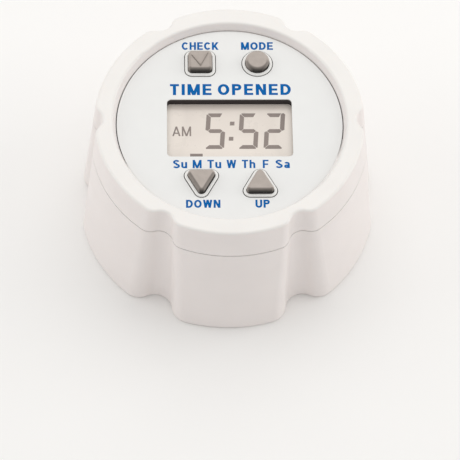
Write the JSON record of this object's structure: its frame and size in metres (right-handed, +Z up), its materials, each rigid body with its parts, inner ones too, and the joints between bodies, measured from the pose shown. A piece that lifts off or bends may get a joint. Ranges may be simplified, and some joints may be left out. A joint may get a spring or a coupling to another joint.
{
  "type": "smart pill bottle cap",
  "caption": "Six-lobed white screw cap for a pill bottle, with a sunken round face holding an LCD clock, raised rubber keys, and a coin-slot battery door inside the threaded closure.",
  "frame": {"origin": "centre of the skirt's open rim, in the plane that the cap stands on", "axes": "+Z up along the cap's axis, out of the display; -Y is the front, below the display's digits; +X to the reader's right"},
  "size_m": [0.0624, 0.0638, 0.0325],
  "materials": {
    "shell_plastic": "glossy warm white moulded plastic",
    "face_plastic": "satin cool white moulded plastic",
    "overlay_film": "fine matt printed film",
    "frame_plastic": "matt black moulded plastic",
    "display_glass": "polished, grey beige by its reflector",
    "reflector_film": "satin",
    "key_rubber": "fine matt warm grey",
    "dome_rubber": "matt translucent grey",
    "strip_rubber": "layered conductive rubber",
    "board_laminate": "solder mask over glass laminate",
    "chip_resin": "smooth black resin",
    "part_ceramic": "ceramic with tinned ends",
    "can_metal": "bright rolled metal",
    "sounder_plastic": "matt black",
    "contact_metal": "nickel-plated spring brass",
    "cell_steel": "brushed can",
    "closure_plastic": "satin white moulded plastic",
    "seal_foam": "fine closed-cell foam",
    "door_plastic": "satin white moulded plastic",
    "ring_rubber": "smooth black rubber",
    "plunger_plastic": "smooth natural acetal",
    "spring_steel": "bright wire",
    "screw_steel": "zinc-plated"
  },
  "bodies": {
    "cap": {"upper_shell": "shell_plastic", "grip_skirt": "shell_plastic", "closure_insert": "closure_plastic", "seal_ring": "seal_foam", "face_disc": "face_plastic", "face_overlay": "overlay_film", "display_frame": "frame_plastic", "display_front_glass": "display_glass", "display_rear_glass": "display_glass", "display_reflector": "reflector_film", "contact_strips": "strip_rubber", "check_dome": "dome_rubber", "mode_dome": "dome_rubber", "down_dome": "dome_rubber", "up_dome": "dome_rubber", "circuit_board": "board_laminate", "clock_chip": "chip_resin", "clock_crystal": "can_metal", "board_parts": "part_ceramic", "sounder": "sounder_plastic", "open_switch": "can_metal", "coin_cell": "cell_steel", "negative_contact": "contact_metal", "positive_contact": "contact_metal", "plunger_spring": "spring_steel", "board_screws": "screw_steel", "closure_screws": "screw_steel", "case_screws": "screw_steel"},
    "check_key": {"check_key": "key_rubber"},
    "mode_key": {"mode_key": "key_rubber"},
    "down_key": {"down_key": "key_rubber"},
    "up_key": {"up_key": "key_rubber"},
    "sense_plunger": {"sense_plunger": "plunger_plastic"},
    "battery_door": {"battery_door": "door_plastic", "door_ring": "ring_rubber"}
  },
  "joints": [
    {"name": "check_press", "type": "slide", "parent": "cap", "child": "check_key", "axis": [0, 0, -1], "range_m": [0, 0.0006], "stiffness_N_per_m": 500, "deforming": ["check_dome"]},
    {"name": "mode_press", "type": "slide", "parent": "cap", "child": "mode_key", "axis": [0, 0, -1], "range_m": [0, 0.0006], "stiffness_N_per_m": 500, "deforming": ["mode_dome"]},
    {"name": "down_press", "type": "slide", "parent": "cap", "child": "down_key", "axis": [0, 0, -1], "range_m": [0, 0.0006], "stiffness_N_per_m": 500, "deforming": ["down_dome"]},
    {"name": "up_press", "type": "slide", "parent": "cap", "child": "up_key", "axis": [0, 0, -1], "range_m": [0, 0.0006], "stiffness_N_per_m": 500, "deforming": ["up_dome"]},
    {"name": "plunger_press", "type": "slide", "parent": "cap", "child": "sense_plunger", "axis": [0, 0, 1], "range_m": [0, 0.0008], "stiffness_N_per_m": 250, "deforming": ["plunger_spring"]},
    {"name": "door_turn", "type": "hinge", "parent": "cap", "child": "battery_door", "pos_m": [0, 0, 0.0174], "axis": [0, 0, 1], "range_deg": [0, 50]}
  ]
}
